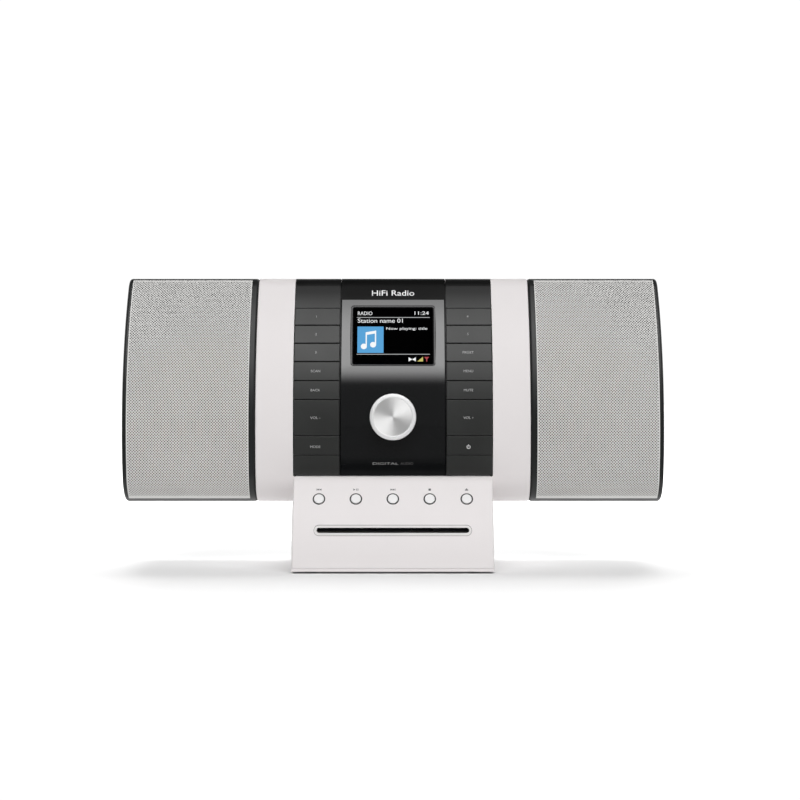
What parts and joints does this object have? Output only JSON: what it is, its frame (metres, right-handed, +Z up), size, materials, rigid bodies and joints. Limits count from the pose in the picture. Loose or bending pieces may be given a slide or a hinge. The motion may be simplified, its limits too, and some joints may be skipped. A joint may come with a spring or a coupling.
{
  "type": "mini hifi system",
  "caption": "Shelf music system: curved centre unit with display, key columns and turning knob on a sloping base with a disc slot, and a grilled speaker on each side.",
  "frame": {"origin": "on the surface the feet stand on, at the middle of the part's width and depth", "axes": "+X to the right seen from the front, +Y towards the back, +Z up; the front with the display faces -Y"},
  "size_m": [0.4636, 0.158, 0.251],
  "materials": {
    "white_plastic": "warm white, semi-gloss",
    "black_fascia": "black, satin",
    "black_key": "black, satin, printed white legends",
    "black_gloss_panel": "black, high gloss",
    "crown_black": "black, satin",
    "display_glass": "clear, glossy",
    "display_module": "dark frame with a lit screen",
    "spun_metal": "spun face, bright bevel",
    "cabinet_black": "black, semi-gloss",
    "grille_silver": "light grey perforated sheet",
    "cone_paper": "dark pressed paper",
    "driver_steel": "dark pressed steel and magnet",
    "rubber": "matt",
    "button_metal": "silver plated plastic",
    "slot_trim": "light grey, semi-gloss",
    "circuit_board": "green board with parts",
    "inner_plastic": "black",
    "sheet_steel": "zinc plated",
    "back_plastic": "dark grey, fine texture",
    "chrome": "polished tube",
    "antenna_knuckle": "black",
    "roller_rubber": "soft roller"
  },
  "bodies": {
    "body": {"center_housing": "white_plastic", "back_panel": "back_plastic", "fascia_frame": "black_fascia", "brand_cap": "crown_black", "display_panel": "black_gloss_panel", "display_window": "display_glass", "display_module": "display_module", "key_carrier": "inner_plastic", "key_switches": "inner_plastic", "encoder_body": "inner_plastic", "main_board": "circuit_board", "rear_sockets": "inner_plastic", "case_screws": "sheet_steel", "base_shell": "white_plastic", "base_plate": "white_plastic", "rubber_feet": "rubber", "slot_bezel": "slot_trim", "button_board": "circuit_board", "cd_chassis": "sheet_steel", "cd_top_guide": "inner_plastic", "cd_motors": "sheet_steel", "cabinet_left": "cabinet_black", "cabinet_right": "cabinet_black", "grille_left": "grille_silver", "grille_right": "grille_silver", "driver_left": "driver_steel", "driver_right": "driver_steel"},
    "key_1": {"key_1": "black_key"},
    "key_2": {"key_2": "black_key"},
    "key_3": {"key_3": "black_key"},
    "key_scan": {"key_scan": "black_key"},
    "key_back": {"key_back": "black_key"},
    "key_volume_down": {"key_volume_down": "black_key"},
    "key_mode": {"key_mode": "black_key"},
    "key_4": {"key_4": "black_key"},
    "key_5": {"key_5": "black_key"},
    "key_preset": {"key_preset": "black_key"},
    "key_menu": {"key_menu": "black_key"},
    "key_mute": {"key_mute": "black_key"},
    "key_volume_up": {"key_volume_up": "black_key"},
    "key_power": {"key_power": "black_key"},
    "button_previous": {"button_previous": "button_metal"},
    "button_play": {"button_play": "button_metal"},
    "button_next": {"button_next": "button_metal"},
    "button_stop": {"button_stop": "button_metal"},
    "button_eject": {"button_eject": "button_metal"},
    "knob_push": {"encoder_plunger": "sheet_steel"},
    "knob": {"tuning_knob": "spun_metal", "encoder_shaft": "sheet_steel"},
    "roller_arm": {"roller_arm": "sheet_steel"},
    "load_roller": {"load_roller": "roller_rubber"},
    "turntable": {"turntable": "inner_plastic"},
    "laser_sled": {"laser_sled": "inner_plastic"},
    "lead_screw": {"lead_screw": "sheet_steel"},
    "antenna_swivel": {"antenna_swivel": "antenna_knuckle"},
    "antenna_rod_1": {"antenna_rod_1": "chrome"},
    "antenna_rod_2": {"antenna_rod_2": "chrome"},
    "antenna_rod_3": {"antenna_rod_3": "chrome"},
    "cone_left": {"cone_left": "cone_paper"},
    "cone_right": {"cone_right": "cone_paper"}
  },
  "joints": [
    {"name": "key_1_press", "type": "slide", "parent": "body", "child": "key_1", "axis": [0, 0.8973, -0.4415], "range_m": [0, 0.0007], "stiffness_N_per_m": 800, "springref_m": -0.0004},
    {"name": "key_2_press", "type": "slide", "parent": "body", "child": "key_2", "axis": [0, 0.9285, -0.3714], "range_m": [0, 0.0007], "stiffness_N_per_m": 800, "springref_m": -0.0004},
    {"name": "key_3_press", "type": "slide", "parent": "body", "child": "key_3", "axis": [0, 0.954, -0.2999], "range_m": [0, 0.0007], "stiffness_N_per_m": 800, "springref_m": -0.0004},
    {"name": "key_scan_press", "type": "slide", "parent": "body", "child": "key_scan", "axis": [0, 0.9739, -0.2271], "range_m": [0, 0.0007], "stiffness_N_per_m": 800, "springref_m": -0.0004},
    {"name": "key_back_press", "type": "slide", "parent": "body", "child": "key_back", "axis": [0, 0.9882, -0.1534], "range_m": [0, 0.0007], "stiffness_N_per_m": 800, "springref_m": -0.0004},
    {"name": "key_volume_down_press", "type": "slide", "parent": "body", "child": "key_volume_down", "axis": [0, 0.9989, -0.0471], "range_m": [0, 0.0007], "stiffness_N_per_m": 800, "springref_m": -0.0004},
    {"name": "key_mode_press", "type": "slide", "parent": "body", "child": "key_mode", "axis": [0, 0.9982, 0.0602], "range_m": [0, 0.0007], "stiffness_N_per_m": 800, "springref_m": -0.0004},
    {"name": "key_4_press", "type": "slide", "parent": "body", "child": "key_4", "axis": [0, 0.8973, -0.4415], "range_m": [0, 0.0007], "stiffness_N_per_m": 800, "springref_m": -0.0004},
    {"name": "key_5_press", "type": "slide", "parent": "body", "child": "key_5", "axis": [0, 0.9285, -0.3714], "range_m": [0, 0.0007], "stiffness_N_per_m": 800, "springref_m": -0.0004},
    {"name": "key_preset_press", "type": "slide", "parent": "body", "child": "key_preset", "axis": [0, 0.954, -0.2999], "range_m": [0, 0.0007], "stiffness_N_per_m": 800, "springref_m": -0.0004},
    {"name": "key_menu_press", "type": "slide", "parent": "body", "child": "key_menu", "axis": [0, 0.9739, -0.2271], "range_m": [0, 0.0007], "stiffness_N_per_m": 800, "springref_m": -0.0004},
    {"name": "key_mute_press", "type": "slide", "parent": "body", "child": "key_mute", "axis": [0, 0.9882, -0.1534], "range_m": [0, 0.0007], "stiffness_N_per_m": 800, "springref_m": -0.0004},
    {"name": "key_volume_up_press", "type": "slide", "parent": "body", "child": "key_volume_up", "axis": [0, 0.9989, -0.0471], "range_m": [0, 0.0007], "stiffness_N_per_m": 800, "springref_m": -0.0004},
    {"name": "key_power_press", "type": "slide", "parent": "body", "child": "key_power", "axis": [0, 0.9982, 0.0602], "range_m": [0, 0.0007], "stiffness_N_per_m": 800, "springref_m": -0.0004},
    {"name": "button_previous_press", "type": "slide", "parent": "body", "child": "button_previous", "axis": [0, 0.8754, -0.4833], "range_m": [0, 0.0008], "stiffness_N_per_m": 600, "springref_m": -0.0004},
    {"name": "button_play_press", "type": "slide", "parent": "body", "child": "button_play", "axis": [0, 0.8754, -0.4833], "range_m": [0, 0.0008], "stiffness_N_per_m": 600, "springref_m": -0.0004},
    {"name": "button_next_press", "type": "slide", "parent": "body", "child": "button_next", "axis": [0, 0.8754, -0.4833], "range_m": [0, 0.0008], "stiffness_N_per_m": 600, "springref_m": -0.0004},
    {"name": "button_stop_press", "type": "slide", "parent": "body", "child": "button_stop", "axis": [0, 0.8754, -0.4833], "range_m": [0, 0.0008], "stiffness_N_per_m": 600, "springref_m": -0.0004},
    {"name": "button_eject_press", "type": "slide", "parent": "body", "child": "button_eject", "axis": [0, 0.8754, -0.4833], "range_m": [0, 0.0008], "stiffness_N_per_m": 600, "springref_m": -0.0004},
    {"name": "knob_press", "type": "slide", "parent": "body", "child": "knob_push", "axis": [0, 0.9988, -0.0489], "range_m": [0, 0.0005], "stiffness_N_per_m": 1500, "springref_m": -0.0004},
    {"name": "knob_turn", "type": "hinge", "parent": "knob_push", "child": "knob", "pos_m": [0, -0.03973, 0.12944], "axis": [0, -0.9988, 0.0489], "continuous": true},
    {"name": "roller_lift", "type": "slide", "parent": "body", "child": "roller_arm", "axis": [0, 0, 1], "range_m": [0, 0.005]},
    {"name": "roller_spin", "type": "hinge", "parent": "roller_arm", "child": "load_roller", "pos_m": [0, -0.052, 0.0272], "axis": [1, 0, 0], "continuous": true},
    {"name": "turntable_spin", "type": "hinge", "parent": "body", "child": "turntable", "pos_m": [0, 0.004, 0.031], "axis": [0, 0, 1], "continuous": true},
    {"name": "sled_slide", "type": "slide", "parent": "body", "child": "laser_sled", "axis": [1, 0, 0], "range_m": [0, 0.03]},
    {"name": "lead_screw_turn", "type": "hinge", "parent": "body", "child": "lead_screw", "pos_m": [0.04, -0.02, 0.024], "axis": [1, 0, 0], "range_deg": [-2, 1802]},
    {"name": "antenna_swing", "type": "hinge", "parent": "body", "child": "antenna_swivel", "pos_m": [0.095, 0.07, 0.238], "axis": [0, 1, 0], "range_deg": [0, 180]},
    {"name": "antenna_tilt", "type": "hinge", "parent": "antenna_swivel", "child": "antenna_rod_1", "pos_m": [0.095, 0.0753, 0.238], "axis": [0, 0, -1], "range_deg": [0, 90]},
    {"name": "antenna_pull_1", "type": "slide", "parent": "antenna_rod_1", "child": "antenna_rod_2", "axis": [-1, 0, 0], "range_m": [0, 0.15]},
    {"name": "antenna_pull_2", "type": "slide", "parent": "antenna_rod_2", "child": "antenna_rod_3", "axis": [-1, 0, 0], "range_m": [0, 0.15]},
    {"name": "cone_left_travel", "type": "slide", "parent": "body", "child": "cone_left", "axis": [0, -1, 0], "range_m": [-0.0015, 0.0015], "stiffness_N_per_m": 2500},
    {"name": "cone_right_travel", "type": "slide", "parent": "body", "child": "cone_right", "axis": [0, -1, 0], "range_m": [-0.0015, 0.0015], "stiffness_N_per_m": 2500}
  ],
  "couplings": [
    {"joint": "lead_screw_turn", "follows": "sled_slide", "rad_per_m": 1047.2}
  ]
}
